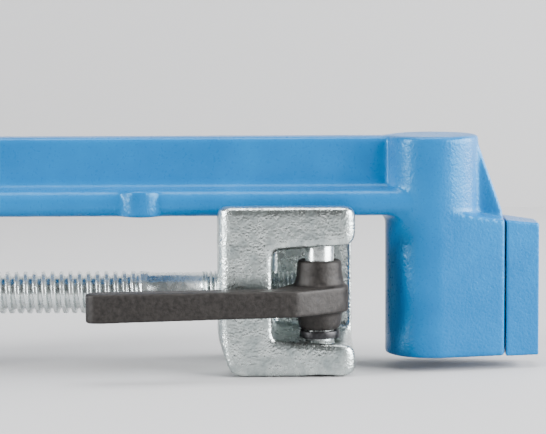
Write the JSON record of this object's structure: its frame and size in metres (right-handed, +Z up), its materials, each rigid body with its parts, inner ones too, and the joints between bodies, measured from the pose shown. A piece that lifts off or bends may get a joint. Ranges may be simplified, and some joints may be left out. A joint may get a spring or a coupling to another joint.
{
  "type": "bar clamp",
  "caption": "Screw-driven bar clamp: cast T-section bar with a jaw head, sliding pocketed yoke on a threaded spindle, and a quick-turning cam lever on an upright pin.",
  "frame": {"origin": "on the floor at the middle of the nut column's foot, in the bar's middle plane", "axes": "+X along the bar from the nut column to the jaw head, -Y toward the lever's side, +Z up"},
  "size_m": [0.2901, 0.0657, 0.0775],
  "materials": {
    "powder_coated_casting": "semi-gloss powder coat with fine orange peel",
    "zinc_plated_casting": "bright zinc plate over a cast skin",
    "zinc_plated_thread": "bright zinc plate over a rolled thread",
    "phosphated_forging": "dark oiled phosphate over a forged skin",
    "ground_steel": "ground steel",
    "turned_steel": "turned steel",
    "black_oxide_screw": "black oxide",
    "bearing_bronze": "machined bronze",
    "moulded_wheel": "moulded, fine spark texture",
    "pad_nylon": "moulded natural nylon"
  },
  "bodies": {
    "frame": {"frame_casting": "powder_coated_casting", "end_plate": "powder_coated_casting", "end_plate_screw_upper": "black_oxide_screw", "end_plate_screw_lower": "black_oxide_screw", "end_plate_dowel_front": "ground_steel", "end_plate_dowel_rear": "ground_steel", "nut_bush": "bearing_bronze"},
    "hand_nut": {"drive_nut": "turned_steel", "hand_wheel": "moulded_wheel", "wheel_grub_screw": "black_oxide_screw", "thrust_washer_outer": "ground_steel", "thrust_washer_inner": "ground_steel", "retaining_ring": "black_oxide_screw"},
    "carriage": {"yoke": "zinc_plated_casting", "screw_spindle": "zinc_plated_thread", "end_stop_pin": "ground_steel", "spindle_lock_screw": "black_oxide_screw", "guide_pad_front": "pad_nylon", "guide_pad_rear": "pad_nylon", "pivot_pin": "zinc_plated_thread", "pin_ring": "black_oxide_screw", "hub_washer": "black_oxide_screw"},
    "lever": {"cam_lever": "phosphated_forging"}
  },
  "joints": [
    {"name": "nut_turn", "type": "hinge", "parent": "frame", "child": "hand_nut", "pos_m": [-0.03, 0, 0.025], "axis": [1, 0, 0], "range_deg": [-1141, 12001]},
    {"name": "carriage_slide", "type": "slide", "parent": "frame", "child": "carriage", "axis": [1, 0, 0], "range_m": [-0.1, 0.0095]},
    {"name": "lever_swing", "type": "hinge", "parent": "carriage", "child": "lever", "pos_m": [0.1571, -0.0165, 0.025], "axis": [0, 0, 1], "range_deg": [0, 110]}
  ],
  "couplings": [
    {"joint": "nut_turn", "follows": "carriage_slide", "rad_per_m": -2094.4}
  ]
}
